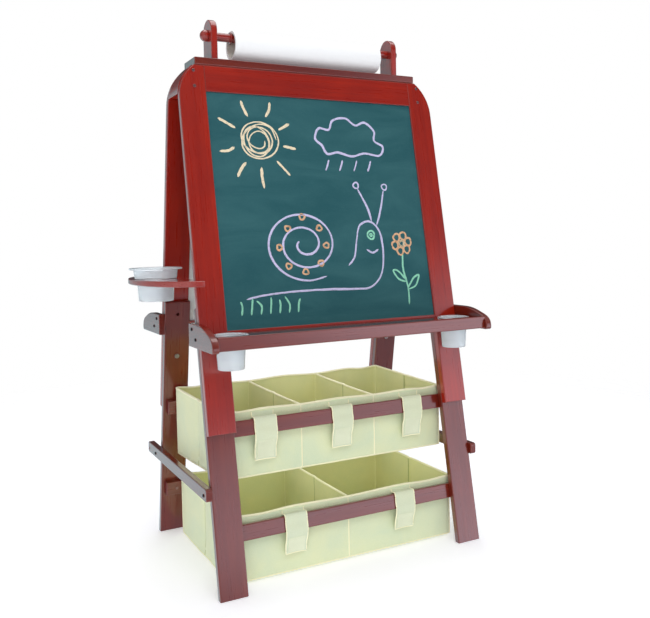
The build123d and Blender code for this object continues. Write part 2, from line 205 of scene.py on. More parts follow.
def chalkboard():
    """Matt teal board with the haze that wiped chalk leaves."""
    s = Shader("chalkboard_paint")
    place = s.place()
    haze = s.noise(s.mapping(place, (3, 3, 9), rotation=(0, radians(35), 0)), 1.6, 6.0, 0.62, 0.9)
    grit = s.noise(place, 900.0, 2.0)
    colour = s.blend(s.span(haze, 0.36, 0.75, 0.0, 0.42), rgb(36, 86, 93), rgb(74, 122, 126))
    colour = s.blend(s.span(grit, 0.55, 0.8, 0.0, 0.2), colour, rgb(110, 150, 152))
    return s.finish(
        Base_Color=colour,
        Roughness=s.span(haze, 0.3, 0.7, 0.52, 0.68),
        Normal=s.bump(grit, 0.25, 0.0002),
        Specular_IOR_Level=0.35,
    )


def whiteboard():
    """Gloss lacquer with faint wiped marker ghosts."""
    s = Shader("whiteboard_lacquer")
    place = s.place()
    ghosts = s.noise(s.mapping(place, (2, 2, 6), rotation=(0, radians(-30), 0)), 2.0, 5.0, 0.6, 1.2)
    dimple = s.noise(place, 160.0, 2.0)
    colour = s.blend(s.span(ghosts, 0.5, 0.8, 0.0, 0.35), rgb(241, 243, 244), rgb(214, 220, 228))
    return s.finish(
        Base_Color=colour,
        Roughness=s.span(ghosts, 0.3, 0.8, 0.12, 0.24),
        Normal=s.bump(dimple, 0.05, 0.0003),
        Coat_Weight=0.3,
    )


def cloth(name, light, dark, bond=650.0):
    """Non-woven cloth: soft blotches and a pressed grid of small bonds."""
    s = Shader(name)
    place = s.place()
    blotch = s.noise(place, 9.0, 4.0, 0.6, 0.4)
    fibres = s.noise(place, 420.0, 3.0, 0.7)
    bonds = s.add("TexVoronoi", {"Vector": place, "Scale": bond, "Randomness": 0.15}, "Distance")
    colour = s.blend(s.span(blotch, 0.34, 0.68), light, dark)
    colour = s.blend(s.span(fibres, 0.3, 0.75, 0.0, 0.16), colour, rgb(250, 250, 238))
    height = s.math("ADD", s.math("MULTIPLY", fibres, 0.4), s.span(bonds, 0.0, 0.5))
    return s.finish(
        Base_Color=colour,
        Roughness=s.span(fibres, 0.2, 0.8, 0.78, 0.95),
        Normal=s.bump(height, 0.3, 0.0003),
        Sheen_Weight=0.25,
        Sheen_Roughness=0.5,
        Specular_IOR_Level=0.2,
    )


def plastic():
    """Milky polypropylene, thin enough to see a shadow of what is behind."""
    s = Shader("clear_plastic")
    place = s.place()
    flow = s.noise(s.mapping(place, (1, 1, 6)), 14.0, 3.0, 0.5, 0.6)
    specks = s.noise(place, 700.0, 1.0)
    return s.finish(
        Base_Color=s.blend(s.span(flow, 0.3, 0.7), rgb(246, 251, 254), rgb(240, 247, 252)),
        Roughness=s.span(flow, 0.3, 0.7, 0.16, 0.24),
        Normal=s.bump(specks, 0.05, 0.0002),
        Transmission_Weight=0.6,
        IOR=1.2,
    )


def paper():
    """Plain drawing paper with a faint painted glow that lightens its shaded underside; its wound layers show
    as fine rings on the ends.
    """
    s = Shader("paper")
    place = s.place()
    fibre = s.noise(place, 260.0, 4.0, 0.65)
    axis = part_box("paper_roll")
    middle = (axis[0] + axis[1]) / 2
    out = s.mapping(place, (0, 1, 1), location=(0, 0, -middle.z))
    radius = s.add("VectorMath", {0: out}, "Value", operation="LENGTH")
    rings = s.math("SINE", s.math("MULTIPLY", radius, 9000.0))
    end = s.math("ABSOLUTE", s.add("SeparateXYZ", {0: s.add("NewGeometry", {}, "Normal")}, 0))
    end = s.span(end, 0.9, 0.99)
    shade = s.math("MULTIPLY", end, s.span(rings, -0.2, 1.0, 0.0, 0.5))
    return s.finish(
        Base_Color=s.blend(shade, rgb(240, 241, 243), rgb(206, 202, 196)),
        Roughness=0.88,
        # Painted light: a faint bluish-white glow keeps the roll's shaded underside near white
        Emission_Color=(0.93, 0.95, 1.0, 1.0),
        Emission_Strength=0.1,
        Normal=s.bump(fibre, 0.08, 0.0002),
    )


def cardboard():
    s = Shader("cardboard_core")
    place = s.place()
    wound = s.noise(s.mapping(place, (60, 8, 8)), 3.0, 4.0, 0.6)
    return s.finish(
        Base_Color=s.blend(s.span(wound, 0.3, 0.7), rgb(236, 233, 226), rgb(222, 218, 208)),
        Roughness=0.92,
        Normal=s.bump(wound, 0.15, 0.0003),
    )


def steel(name, *display):
    """Plated screw heads with turned marks and small scratches."""
    s = Shader(name)
    place = s.place()
    scratches = s.noise(s.mapping(place, (30, 300, 300)), 4.0, 3.0, 0.6)
    return s.finish(
        Base_Color=s.blend(s.span(scratches, 0.3, 0.75), rgb(*display), rgb(*(0.75 * c for c in display))),
        Metallic=0.9,
        Roughness=s.span(scratches, 0.3, 0.7, 0.22, 0.4),
        Normal=s.bump(scratches, 0.1, 0.0002),
    )


def chalk(name, colour):
    """Chalk stroke: dusty, with the board's tooth breaking it up."""
    s = Shader(name)
    place = s.place()
    tooth = s.noise(place, 520.0, 3.0, 0.7)
    drag = s.noise(s.mapping(place, (60, 60, 60)), 2.0, 4.0, 0.6)
    gaps = s.math("MULTIPLY", s.span(tooth, 0.5, 0.62), s.span(drag, 0.35, 0.7, 0.15, 0.6))
    return s.finish(
        Base_Color=s.blend(gaps, colour, rgb(60, 108, 114)),
        Roughness=0.97,
        Normal=s.bump(tooth, 0.5, 0.0004),
        Specular_IOR_Level=0.1,
    )


# ---------------------------------------------------------------- mesh helpers


def piece(name, points, faces, materials, body, slot=None, replaces=(), indices=None, sharp=35.0):
    """Make one visible piece from points in millimetres and let it ride on a body."""
    mesh = bpy.data.meshes.new(name)
    mesh.from_pydata([tuple(MM * c for c in p) for p in points], [], faces)
    for material in materials:
        mesh.materials.append(material)
    if indices:
        mesh.polygons.foreach_set("material_index", indices)
    mesh.shade_smooth()
    mesh.set_sharp_from_angle(angle=radians(sharp))
    mesh.update()
    made = bpy.data.objects.new(name, mesh)
    scene.collection.objects.link(made)
    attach(made, body)
    if replaces:
        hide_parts(*replaces)
    return made


class Pile:
    """Collects surfaces that end up in one mesh."""

    def __init__(self):
        self.points, self.faces, self.indices = [], [], []

    def take(self, points, faces, index=0):
        base = len(self.points)
        self.points += points
        self.faces += [tuple(base + i for i in face) for face in faces]
        self.indices += [index] * len(faces)

    def make(self, name, materials, body, **more):
        return piece(name, self.points, self.faces, materials, body, indices=self.indices, **more)


def grid_faces(rows, columns, close_rows=False, close_columns=False):
    """Quads over rows of points, optionally closed round either way."""
    faces = []
    for r in range(rows if close_rows else rows - 1):
        for c in range(columns if close_columns else columns - 1):
            r2, c2 = (r + 1) % rows, (c + 1) % columns
            faces.append((r * columns + c, r * columns + c2, r2 * columns + c2, r2 * columns + c))
    return faces


def slab(pile, outer, inner, outside=0, inside=0, closed=False):
    """Closed sheet between two matching grids of points, given as lists of rows."""
    rows, columns = len(outer), len(outer[0])
    count = rows * columns
    points = [p for row in outer for p in row] + [p for row in inner for p in row]
    front = grid_faces(rows, columns, close_columns=closed)
    back = [tuple(count + i for i in reversed(face)) for face in front]
    rims = []
    for c in range(columns if closed else columns - 1):
        c2 = (c + 1) % columns
        last = (rows - 1) * columns
        rims.append((c2, c, count + c, count + c2))
        rims.append((last + c, last + c2, count + last + c2, count + last + c))
    if not closed:
        for r in range(rows - 1):
            a, b = r * columns, (r + 1) * columns
            rims.append((a, b, count + b, count + a))
            a, b = a + columns - 1, b + columns - 1
            rims.append((b, a, count + a, count + b))
    base = len(pile.points)
    pile.take(points, front, outside)
    pile.faces += [tuple(base + i for i in face) for face in back + rims]
    pile.indices += [inside] * len(back) + [outside] * len(rims)


def tube(pile, path, radius, index=0, closed=False, sides=8):
    """Round cord of cloth along a path."""
    count = len(path)
    points = []
    for i, p in enumerate(path):
        before = path[i - 1] if closed or i else p
        after = path[(i + 1) % count] if closed or i < count - 1 else p
        along = (Vector(after) - Vector(before)).normalized()
        side = along.cross(Vector((0, 0, 1)))
        if side.length < 0.1:
            side = along.cross(Vector((1, 0, 0)))
        side.normalize()
        other = along.cross(side)
        for k in range(sides):
            a = 2 * pi * k / sides
            points.append(tuple(Vector(p) + radius * (cos(a) * side + sin(a) * other)))
    faces = grid_faces(count, sides, close_rows=closed, close_columns=True)
    if not closed:
        faces.append(tuple(range(sides)))
        faces.append(tuple((count - 1) * sides + k for k in reversed(range(sides))))
    pile.take(points, faces, index)


def stitches(pile, path, out, pitch=5.0, length=3.4, thick=0.7):
    """Row of thread stitches lying on a surface whose outward direction is given."""
    travelled, due = 0.0, pitch / 2
    for a, b in zip(path[:-1], path[1:]):
        a, b = Vector(a), Vector(b)
        step = (b - a).length
        while step and due <= travelled + step:
            at = a.lerp(b, (due - travelled) / step)
            along = (b - a).normalized() * length / 2
            across = along.cross(out).normalized() * thick / 2
            up = Vector(out) * thick / 2
            base = len(pile.points)
            ring = [at - along, at - across, at + along, at + across]
            pile.points += [tuple(p) for p in ring] + [tuple(at + up), tuple(at - up)]
            for k in range(4):
                pile.faces.append((base + k, base + (k + 1) % 4, base + 4))
                pile.faces.append((base + (k + 1) % 4, base + k, base + 5))
            pile.indices += [0] * 8
            due += pitch
        travelled += step


def smooth_path(points, steps=6, closed=False):
    """Catmull-Rom curve through the points."""
    vectors = [Vector(p) for p in points]
    count = len(vectors)
    made = []
    for i in range(count if closed else count - 1):
        if closed:
            p0, p1, p2, p3 = (vectors[(i + k) % count] for k in (-1, 0, 1, 2))
        else:
            p0, p1 = vectors[max(i - 1, 0)], vectors[i]
            p2, p3 = vectors[i + 1], vectors[min(i + 2, count - 1)]
        for k in range(steps):
            t = k / steps
            made.append(0.5 * (
                2 * p1 + (p2 - p0) * t + (2 * p0 - 5 * p1 + 4 * p2 - p3) * t * t
                + (3 * p1 - p0 - 3 * p2 + p3) * t ** 3
            ))
    if not closed:
        made.append(vectors[-1])
    return made


def ripple(x, y, z, size, seed=0.0):
    """Smooth noise from -1 to 1 with features of the given size in millimetres."""
    return noise.noise(Vector((x / size + seed, y / size, z / size)))


def lathe(pile, centre, profile, sides=64):
    """Closed solid of revolution about a vertical axis; the profile starts and ends on it."""
    rings = profile[1:-1]
    points = []
    for r, z in rings:
        for k in range(sides):
            a = 2 * pi * k / sides
            points.append((centre[0] + r * cos(a), centre[1] + r * sin(a), z))
    faces = grid_faces(len(rings), sides, close_columns=True)
    points += [(*centre, profile[0][1]), (*centre, profile[-1][1])]
    base, top = len(points) - 2, len(points) - 1
    last = (len(rings) - 1) * sides
    for k in range(sides):
        k2 = (k + 1) % sides
        faces.append((k2, k, base))
        faces.append((last + k, last + k2, top))
    pile.take(points, faces)


def corner(a, b, c, radius, steps=4):
    """Rounded corner at b between a and c, as points (r, z)."""
    a, b, c = Vector(a), Vector(b), Vector(c)
    start = b + (a - b).normalized() * radius
    end = b + (c - b).normalized() * radius
    made = []
    for k in range(steps + 1):
        t = k / steps
        made.append(tuple((1 - t) ** 2 * start + 2 * t * (1 - t) * b + t * t * end))
    return made


def rounded_profile(points, radii):
    """Profile with its inner points rounded by the given radii."""
    made = [points[0]]
    for i in range(1, len(points) - 1):
        made += corner(points[i - 1], points[i], points[i + 1], radii[i - 1])
    return made + [points[-1]]


# ---------------------------------------------------------------- finishes

WOOD_NODES = {}
for side in SIDES:
    for hand in ("left", "right"):
        WOOD_NODES[f"{side}_{hand}_stile"] = ("z", side)
        WOOD_NODES[f"{side}_{hand}_leg"] = ("z", side)
        WOOD_NODES[f"{side}_tray_{hand}_cheek"] = ("y", "flat")
    for part in ("top_rail", "bottom_rail", "upper_bin_rail", "lower_bin_rail"):
        WOOD_NODES[f"{side}_{part}"] = ("x", side)
    for part in ("tray_board", "tray_lip"):
        WOOD_NODES[f"{side}_{part}"] = ("x", "flat")
for hand in ("left", "right"):
    WOOD_NODES[f"{hand}_end_block"] = ("y", "flat")
    WOOD_NODES[f"{hand}_roll_post"] = ("z", "flat")
    WOOD_NODES[f"{hand}_dowel_knob"] = ("x", "flat")
    WOOD_NODES[f"{hand}_side_bar"] = ("y", "flat")
WOOD_NODES.update({
    "top_board": ("x", "flat"), "roll_dowel": ("x", "flat"), "dowel_collar": ("z", "flat"),
    "side_shelf": ("y", "flat"),
})


def finish_node(name, material):
    """Give a CAD node its material."""
    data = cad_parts[name].data
    data.materials.clear()
    data.materials.append(material)


DARKER_RED_BOARDS = ("leg", "bin_rail", "side_bar", "tray", "cheek", "top_board")    # boards given a darker base red
for seed, (name, (grain, side)) in enumerate(sorted(WOOD_NODES.items())):
    tone = 0.7 if any(word in name for word in DARKER_RED_BOARDS) else 1.0
    finish_node(name, wood("wood_" + name, grain, side, seed, tone))
finish_node("front_chalkboard", chalkboard())
finish_node("rear_whiteboard", whiteboard())
screw_steel = steel("screw_steel", 205, 170, 172)
# Dark screw heads for the side bars and tray cheeks: partly a dark finish, partly painted shade of the
# countersunk holes they sit in
dark_steel_recess_shade = steel("dark_steel_recess_shade", 74, 70, 74)
bolt_steel = steel("bolt_steel", 216, 214, 214)
for name in ("frame_corner_screws", "bin_rail_screws"):
    finish_node(name, screw_steel)
for name in ("side_bar_screws", "tray_cheek_screws"):
    finish_node(name, dark_steel_recess_shade)
finish_node("leg_bolts", bolt_steel)

CLOTH_OUT = cloth("bin_cloth", rgb(222, 228, 184), rgb(208, 221, 186))
# Inside face of the bin cloth: its yellower, lighter colour is painted light, standing in for light that
# shines through the thin walls
CLOTH_IN = cloth("bin_inside_painted_light", rgb(224, 222, 160), rgb(212, 216, 158))
CLOTH_TRIM = cloth("bin_binding", rgb(248, 245, 208), rgb(242, 239, 198), 900.0)
# Darker olive cloth for the fold ridges: painted shade along the creases
FOLD_SHADE_CLOTH = cloth("bin_fold_shade", rgb(184, 190, 126), rgb(174, 182, 122))
STRAP_CLOTH = cloth("strap_cloth", rgb(206, 216, 188), rgb(214, 220, 186))
PATCH_CLOTH = cloth("strap_patch", rgb(220, 226, 196), rgb(214, 220, 188), 900.0)

# ---------------------------------------------------------------- fabric bins

WALL = 1.7
BINDING_R = 2.6
FOLD_R = 2.1                            # ridge where a wall folds flat
HEM = 13.0
STITCH_EDGE = 2.5                       # from the hem's lower edge up to its stitches
BELLY_TOP = 0.72                        # height share where a long wall's belly ends and its tuck starts
PATCH_START = 0.80                      # share of a strap's length above its sewn patch
CORNER_R = 6.0
STRAP_W = 50.0
STRAP_T = 1.6
RAIL_W = 33.0


class BinRow:
    """Row of sewn cloth bins that share their partition walls. Millimetres, about the middle plane."""

    def __init__(self, name, half_x, half_y, heights, walls_x, straps_x, rail_v, strap_end, droop, skew):
        self.name, self.skew = name, skew
        self.half_x, self.half_y = half_x, half_y
        self.base, self.front_z, self.rear_z = heights
        self.walls_x, self.straps_x = walls_x, straps_x
        self.rail_v, self.strap_end, self.droop = rail_v, strap_end, droop
        self.stops = [-half_x, *walls_x, half_x]
        self.run_x = 2 * (half_x - CORNER_R)
        self.run_y = 2 * (half_y - CORNER_R)
        self.runs = (self.run_x, self.run_y, self.run_x, self.run_y)
        self.turn = CORNER_R * pi / 2
        self.around = 2 * (self.run_x + self.run_y) + 4 * self.turn

    def ring(self, d):
        """Plan position and outward direction at a distance along the outer wall."""
        d %= self.around
        for k, run in enumerate(self.runs):
            angle = k * pi / 2 - pi / 2
            out = Vector((cos(angle), sin(angle)))
            along = Vector((-out.y, out.x))
            reach = self.half_y if k % 2 == 0 else self.half_x
            if d <= run:
                at = out * reach + along * (d - run / 2)
                return at, out
            d -= run
            if d <= self.turn:
                centre = out * (reach - CORNER_R) + along * (run / 2)
                angle += d / CORNER_R
                out = Vector((cos(angle), sin(angle)))
                return centre + out * CORNER_R, out
            d -= self.turn
        raise ValueError(d)

    def top_z(self, x, y):
        """Height of the upper edge, with a shallow dip between the straps."""
        share = (y + self.half_y) / (2 * self.half_y)
        z = self.front_z + (self.rear_z - self.front_z) * share
        return z - self.droop * self.slack(x) * (0.5 + 0.5 * abs(y) / self.half_y)

    def slack(self, x):
        """0 at the straps and ends, 1 midway between them."""
        held = sorted([-self.half_x, *self.straps_x, self.half_x])
        for a, b in zip(held[:-1], held[1:]):
            if a <= x <= b:
                return sin(pi * (x - a) / (b - a)) ** 2
        return 0.0

    def bay(self, x):
        """0 at the partition walls and ends, 1 in the middle of a bin."""
        for a, b in zip(self.stops[:-1], self.stops[1:]):
            if a <= x <= b:
                return sin(pi * (x - a) / (b - a)) ** 0.8
        return 0.0

    def push(self, x, y, out, t):
        """How far the wall stands out of its flat cut at a height share t."""
        if abs(out.y) > 0.9:
            belly = 2.6 * self.bay(x) * sin(pi * min(1.0, t / BELLY_TOP)) if t < BELLY_TOP else 0.0
            tuck = -2.4 * self.slack(x) * max(0.0, (t - BELLY_TOP) / (1 - BELLY_TOP)) ** 1.3
            folds = 0.8 * ripple(x, 40 * out.y, 200 * t, 70) * min(1.0, 3 * t * (1.05 - t))
            near = min(abs(x - s) for s in self.straps_x)
            pull = 0.7 * max(0.0, 1 - near / 60) * sin(x / 5.0 + 6 * t) * max(0.0, t - 0.4)
            return belly * (0.5 + 0.3 * out.y * out.y) + tuck + folds * self.bay(x) + pull * self.bay(x)
        if abs(out.x) > 0.9:
            share = y / self.half_y
            fade = max(0.0, 1 - share * share) ** 0.7
            crease = -3.2 * max(0.0, 1 - abs(y) / 9.0) * min(1.0, 4 * t)
            belly = 3.0 * abs(sin(pi * share)) * sin(pi * min(1.0, t + 0.12))
            folds = 1.0 * ripple(50 * out.x, y, 200 * t, 60, 7.0)
            return crease + (belly + folds) * fade
        return 0.0

    def wall_point(self, d, t, inset=0.0):
        """Point of the outer wall at a distance along it and a height share t."""
        at, out = self.ring(d)
        stand = self.push(at.x, at.y, out, t) - inset
        z = self.base + t * (self.top_z(at.x, at.y) - self.base)
        return Vector((at.x + out.x * stand, at.y + out.y * stand, z))

    def place(self, p):
        """Point in the easel's frame; a row with a skew hangs with its rear side off along x."""
        return Vector((p.x + MID_X / MM + self.skew * (p.y + self.half_y) / (2 * self.half_y), p.y, p.z))

    def front_d(self, x):
        """Distance along the outer wall of a place on its front."""
        return x + self.run_x / 2

    def rear_d(self, x):
        return self.run_x / 2 - x + self.run_x + self.run_y + 2 * self.turn

    def partition_point(self, x, y, t, offset):
        """Point of the wall between two bins, which bows and folds like the outer one."""
        share = y / self.half_y
        crease = 2.2 * max(0.0, 1 - abs(y) / 8.0)
        bow = 2.4 * sin(pi * share) * sin(pi * min(1.0, t + 0.05)) + 0.8 * ripple(x, y, 200 * t, 55, 3.0)
        z = self.base + WALL + t * (self.top_z(x, y) - self.base - WALL)
        dip = 3.0 * (1 - share * share) * t ** 3
        return Vector((x + (bow + crease) * (1 - abs(share) ** 6) + offset, y, z - dip))

    def build(self):
        pile, trim, thread = Pile(), Pile(), Pile()
        place = self.place
        columns = 2 * ceil(self.around / 14)
        rows = 15
        steps = [self.around * k / columns for k in range(columns)]
        levels = [r / (rows - 1) for r in range(rows)]
        outer = [[place(self.wall_point(d, t)) for d in steps] for t in levels]
        inner = [[place(self.wall_point(d, t, WALL)) for d in steps] for t in levels]
        slab(pile, outer, inner, 0, 1, closed=True)

        # Base panel with a slight sag, and the partition walls
        across = [-self.half_x + WALL + (2 * self.half_x - 2 * WALL) * k / 48 for k in range(49)]
        depth = [-self.half_y + WALL + (2 * self.half_y - 2 * WALL) * k / 24 for k in range(25)]
        upper, lower = [], []
        for y in depth:
            sag = [1.6 * self.bay(x) * (1 - (y / self.half_y) ** 2) for x in across]
            lower.append([place(Vector((x, y, self.base + 1.0 - g))) for x, g in zip(across, sag)])
            upper.append([place(Vector((x, y, self.base + 1.0 + WALL - g))) for x, g in zip(across, sag)])
        slab(pile, upper, lower, 1, 0)
        for x in self.walls_x:
            one, two = [], []
            for t in levels:
                one.append([place(self.partition_point(x, y, t, -WALL / 2)) for y in depth])
                two.append([place(self.partition_point(x, y, t, WALL / 2)) for y in depth])
            slab(pile, one, two, 1, 1)
            tube(trim, [place(self.partition_point(x, y, 1.0, 0)) for y in depth], BINDING_R)
            # fold ridge down the partition's middle, in the darker cloth: painted crease shade
            tube(trim, [place(self.partition_point(x, 0, t, 0)) for t in levels], FOLD_R, 2)

        # Binding on the rims, corners and seams
        tube(trim, [place(self.wall_point(d, 1.0, WALL / 2)) for d in steps], BINDING_R, closed=True)
        tube(trim, [place(self.wall_point(d, 0.0, WALL / 2)) for d in steps], BINDING_R * 0.8, closed=True)
        seams = [sum(self.runs[:k + 1]) + self.turn * (k + 0.5) for k in range(4)]
        for x in self.walls_x:
            seams += [self.front_d(x), self.rear_d(x)]
        for d in seams:
            tube(trim, [place(self.wall_point(d, t, WALL * 0.3)) for t in levels], BINDING_R * 0.7)
        # fold ridges down the middle of both end walls, in the darker cloth: painted crease shade
        right_middle = self.run_x + self.turn + self.run_y / 2
        for d in (right_middle, right_middle + self.around / 2):
            tube(trim, [place(self.wall_point(d, t, WALL / 2)) for t in levels], FOLD_R, 2)

        # Hem: a thin fold of cloth round the top, held by a row of stitches
        fold_out, fold_in = [], []
        for k in range(4):
            drop = HEM * k / 3
            row_out, row_in = [], []
            for d in steps:
                at, out = self.ring(d)
                height = self.top_z(at.x, at.y) - self.base
                p = self.wall_point(d, 1 - drop / height)
                outwards = Vector((out.x, out.y, 0))
                row_out.append(place(p + outwards * (0.9 if k < 3 else 0.5)))
                row_in.append(place(p - outwards * 0.2))
            fold_out.append(row_out)
            fold_in.append(row_in)
        slab(trim, fold_in, fold_out, 1, 1, closed=True)
        for d in steps:
            at, out = self.ring(d)
            height = self.top_z(at.x, at.y) - self.base
            share = 1 - (HEM - STITCH_EDGE) / height
            outwards = Vector((out.x, out.y, 0))
            pair = [place(self.wall_point(e, share) + outwards) for e in (d, d + self.around / columns)]
            stitches(thread, pair, outwards)

        pile.make(f"{self.name}_cloth", [CLOTH_OUT, CLOTH_IN], "frame", slot="fabric", replaces=(self.name,))
        trim.make(f"{self.name}_binding", [CLOTH_TRIM, CLOTH_OUT, FOLD_SHADE_CLOTH], "frame", slot="fabric")
        thread.make(f"{self.name}_stitching", [CLOTH_TRIM], "frame", slot="fabric", sharp=80)
        for side_name, side in SIDES.items():
            for number, x in enumerate(self.straps_x, 1):
                self.strap(f"{self.name}_{side_name}_strap_{number}", side, x)

    def strap_path(self, side, x):
        """Points (distance from the centre plane, height): down the wall, over the rail, then hanging."""
        top_v = self.rail_v + RAIL_W
        back = slope_yz(top_v, -3 * BOARD_T)
        front = slope_yz(top_v, -2 * BOARD_T)
        foot = slope_yz(self.rail_v, -2 * BOARD_T)
        lift = STRAP_T / 2 + 0.5
        wall = self.half_y + STRAP_T / 2 + 0.7
        start = self.top_z(x, side * self.half_y) - HEM * 0.4
        return [
            (wall, start),
            (wall + 0.2, (start + back[1]) / 2 + 3),
            (back[0] + 1.6, back[1] + 2.6 + lift),
            ((back[0] + front[0]) / 2, (back[1] + front[1]) / 2 + 2.2 + lift),
            (front[0] - 0.5, front[1] + 1.6 + lift),
            (front[0] + 2.2 + lift, front[1] - 2.5),
            ((front[0] + foot[0]) / 2 + 0.8 + lift, (front[1] + foot[1]) / 2),
            (foot[0] + 0.8 + lift, foot[1] + 2),
            (foot[0] - 1.0 + lift, foot[1] - 14),
            (foot[0] - 5.5, foot[1] - 30),
            (foot[0] - 8.0, self.strap_end),
        ]

    def strap(self, name, side, x):
        """One hanging strap with bound edges and a sewn patch near its end."""
        line = smooth_path([(y, z, 0) for y, z in self.strap_path(side, x)], 5)
        count = len(line)
        columns = 11
        length = sum((b - a).length for a, b in zip(line[:-1], line[1:]))
        outs = []
        for i in range(count):
            along = (line[min(i + 1, count - 1)] - line[max(i - 1, 0)]).normalized()
            outs.append((-along.y, along.x))
        rows = {"out": [], "in": []}
        for i, (p, out) in enumerate(zip(line, outs)):
            free = max(0.0, (i / (count - 1) - 0.7) / 0.3)
            for key, offset in (("out", STRAP_T / 2), ("in", -STRAP_T / 2)):
                row = []
                for c in range(columns):
                    share = 2 * c / (columns - 1) - 1
                    curl = free * (2.2 * share * share - 1.0 + 1.2 * ripple(x, 30 * share, 6 * i, 40))
                    stand = offset + curl
                    width = STRAP_W / 2 * (1 - 0.04 * free)
                    row.append(Vector((
                        MID_X / MM + x + share * width + (self.skew if side > 0 else 0),
                        side * (p.x + out[0] * stand),
                        p.y + out[1] * stand,
                    )))
                rows[key].append(row)
        pile, trim = Pile(), Pile()
        first, second = (rows["out"], rows["in"]) if side < 0 else (rows["in"], rows["out"])
        slab(pile, first, second)
        piece_made = pile.make(name, [STRAP_CLOTH], "frame", slot="fabric")

        middle = [[(a + b) / 2 for a, b in zip(r1, r2)] for r1, r2 in zip(rows["out"], rows["in"])]
        border = [row[0] for row in middle] + middle[-1][1:-1] + [row[-1] for row in reversed(middle)]
        tube(trim, border, STRAP_T * 0.95)
        first_row = int(PATCH_START * (count - 1))
        patch_out, patch_in = [], []
        for i in range(first_row, count - 1):
            normal = Vector((0, side * outs[i][0], outs[i][1]))
            row = rows["out"][i][1:-1]
            edge = 0.5 if i in (first_row, count - 2) else 1.1
            patch_out.append([p + normal * edge for p in row])
            patch_in.append([p - normal * 0.2 for p in row])
        if side > 0:
            patch_out, patch_in = patch_in, patch_out
        slab(trim, patch_out, patch_in, 1, 1)
        binding = trim.make(f"{name}_binding", [CLOTH_TRIM, PATCH_CLOTH], "frame", slot="fabric")
        self.rail_name(side)

    def rail_name(self, side):
        side_name = "front" if side < 0 else "rear"
        return f"{side_name}_{self.name.split('_')[0]}_bin_rail"


# Heights are those of the base, the front edge and the rear edge
BinRow(
    "upper_bins", half_x=278.0, half_y=132.2, heights=(213.0, 355.0, 368.0),
    walls_x=(-93.0, 93.0), straps_x=(-186.0, 0.0, 186.0),
    rail_v=316.3, strap_end=249.0, droop=3.0, skew=-18.0,
).build()
BinRow(
    "lower_bins", half_x=278.0, half_y=170.0, heights=(6.0, 145.0, 147.0),
    walls_x=(0.0,), straps_x=(-137.0, 137.0),
    rail_v=106.5, strap_end=50.0, droop=4.0, skew=0.0,
).build()

# ---------------------------------------------------------------- cups and tub

PLASTIC = plastic()


def vessel_piece(node, body, profile, radii):
    """Moulded vessel round the axis of its CAD node, in place of that node."""
    lo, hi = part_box(node)
    centre = ((lo.x + hi.x) / 2 / MM, (lo.y + hi.y) / 2 / MM)
    pile = Pile()
    lathe(pile, centre, rounded_profile(profile, radii))
    pile.make(f"{node}_moulded", [PLASTIC], body, slot="clear_plastic", replaces=(node,))


# Profiles as (radius, height) in millimetres: up the outside, over the rim, down the inside
CUP = [
    (0, 458.5), (22.5, 458.5), (23.5, 457.0), (27.0, 457.0), (31.2, 524.3), (36.0, 524.3),
    (36.0, 527.0), (30.0, 527.0), (29.6, 523.0), (25.5, 460.0), (0, 460.0),
]
CUP_RADII = [0.5, 0.5, 1.6, 0.6, 0.9, 1.2, 1.2, 1.0, 3.0]
for side in SIDES:
    for hand in ("left", "right"):
        node = f"{side}_{hand}_cup"
        vessel_piece(node, f"{node}_body", CUP, CUP_RADII)

TUB = [
    (0, 589.6), (31.0, 589.6), (32.0, 588.0), (37.0, 588.0), (40.0, 636.3), (45.0, 636.3),
    (47.0, 656.0), (56.5, 656.0), (56.5, 660.0), (45.4, 660.0), (43.2, 638.2), (38.3, 638.2),
    (35.3, 591.4), (0, 591.4),
]
TUB_RADII = [0.6, 0.6, 2.5, 1.0, 1.8, 0.8, 1.6, 1.6, 1.8, 1.4, 0.8, 3.5]
vessel_piece("shelf_tub", "tub", TUB, TUB_RADII)

# ---------------------------------------------------------------- paper roll


CORE_R = 27.2                           # card tube's outside
BORE_R = 25.5
LOOSE_END = 2.4                         # angle of the paper's outer end, in radians


def paper_roll():
    """Wound paper on a card tube; the loose outer end makes a small step."""
    turns = 120
    lo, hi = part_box("paper_roll")
    x0, x1 = lo.x / MM, hi.x / MM
    z = (lo.z + hi.z) / 2 / MM
    radius = (hi.z - lo.z) / 2 / MM
    ring, inner = [], []
    for k in range(turns + 1):
        a = 2 * pi * k / turns + LOOSE_END
        r = radius - 0.5 * k / turns
        ring.append((r * cos(a), r * sin(a)))
        inner.append((CORE_R * cos(a), CORE_R * sin(a)))
    section = ring + inner[::-1]
    points = [(x, y, z + h) for x in (x0, x1) for y, h in section]
    count = len(section)
    faces = grid_faces(2, count, close_columns=True)
    for k in range(turns):
        a, b = k, k + 1
        c, d = 2 * turns + 1 - k, 2 * turns - k
        faces.append((a, c, d, b))
        faces.append((count + a, count + b, count + d, count + c))
    piece("paper_roll_wound", points, faces, [paper()], "roll", slot="paper", replaces=("paper_roll",))
    pile = Pile()
    tube_rows = []
    left, right, outside = x0 + 0.4, x1 - 0.4, CORE_R - 0.1
    for x, r in ((left, outside), (right, outside), (right, BORE_R), (left, BORE_R)):
        tube_rows.append([
            (x, r * cos(2 * pi * k / turns), z + r * sin(2 * pi * k / turns)) for k in range(turns)
        ])
    pile.take([p for row in tube_rows for p in row],
              grid_faces(4, turns, close_rows=True, close_columns=True))
    pile.make("paper_roll_core", [cardboard()], "roll", slot="paper")


paper_roll()

# ---------------------------------------------------------------- chalk drawing

CREAM = chalk("chalk_cream", rgb(240, 222, 190))
LILAC = chalk("chalk_lilac", rgb(206, 200, 236))
MINT = chalk("chalk_mint", rgb(150, 220, 190))
ORANGE = chalk("chalk_orange", rgb(226, 178, 140))


CHALK_SPREAD = 1.25                     # chalk dust widens a stroke by this much


